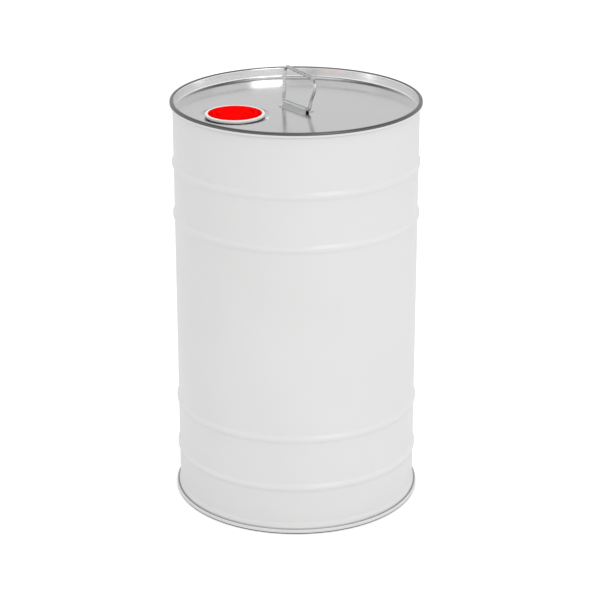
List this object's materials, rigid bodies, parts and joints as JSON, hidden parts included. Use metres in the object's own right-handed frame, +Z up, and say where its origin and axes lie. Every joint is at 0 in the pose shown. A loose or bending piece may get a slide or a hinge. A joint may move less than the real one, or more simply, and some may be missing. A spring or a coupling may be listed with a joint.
{
  "type": "tight-head steel drum",
  "caption": "Slim white steel drum with swaged beads, double-seamed rims, recessed bare head, wire bail and red pull-up spout.",
  "frame": {"origin": "on the drum's axis in the plane of the bottom rim", "axes": "+Z up the drum's axis; the camera side of the drum is -Y, and the closure is to the left at about 204 degrees from +X"},
  "size_m": [0.2966, 0.2966, 0.5236],
  "materials": {
    "white_lacquer": "gloss",
    "tinplate": "satin",
    "tinplate_base": "satin",
    "compound": "matte",
    "strap_steel": "satin",
    "zinc_wire": "bright zinc plated",
    "gasket_rubber": "matte",
    "collar_steel": "bright",
    "red_spout": "semi gloss",
    "liner_foam": "matte",
    "red_cap": "semi gloss"
  },
  "bodies": {
    "drum": {"body_shell": "white_lacquer", "top_head": "tinplate", "bottom_head": "tinplate_base", "top_seam_compound": "compound", "bottom_seam_compound": "compound", "handle_strap": "strap_steel", "closure_gasket": "gasket_rubber", "closure_collar": "collar_steel", "spout_bellows": "red_spout"},
    "bail": {"bail_handle": "zinc_wire"},
    "spout": {"spout_neck": "red_spout", "tear_seal": "red_spout"},
    "cap_rise": {"cap_liner": "liner_foam"},
    "cap": {"screw_cap": "red_cap"},
    "loop_inner": {"pull_loop_inner": "red_cap"},
    "loop_outer": {"pull_loop_outer": "red_cap"}
  },
  "joints": [
    {"name": "bail_swing", "type": "hinge", "parent": "drum", "child": "bail", "pos_m": [0, 0, 0.4815], "axis": [0.5807, -0.8141, 0], "range_deg": [-82, 95.5]},
    {"name": "spout_pull", "type": "slide", "parent": "drum", "child": "spout", "axis": [0, 0, 1], "range_m": [0, 0.05], "deforming": ["spout_bellows"]},
    {"name": "cap_lift", "type": "slide", "parent": "spout", "child": "cap_rise", "axis": [0, 0, 1], "range_m": [0, 0.0038]},
    {"name": "cap_turn", "type": "hinge", "parent": "cap_rise", "child": "cap", "pos_m": [-0.07034, -0.02799, 0.478], "axis": [0, 0, 1], "range_deg": [0, 450]},
    {"name": "loop_inner_fold", "type": "hinge", "parent": "cap", "child": "loop_inner", "pos_m": [-0.06885, -0.0274, 0.4799], "axis": [0.3697, -0.9291, 0], "range_deg": [0, 88]},
    {"name": "loop_outer_fold", "type": "hinge", "parent": "cap", "child": "loop_outer", "pos_m": [-0.07182, -0.02858, 0.4799], "axis": [-0.3697, 0.9291, 0], "range_deg": [0, 88]}
  ],
  "couplings": [
    {"joint": "cap_lift", "follows": "cap_turn", "m_per_rad": 0.00047746}
  ]
}
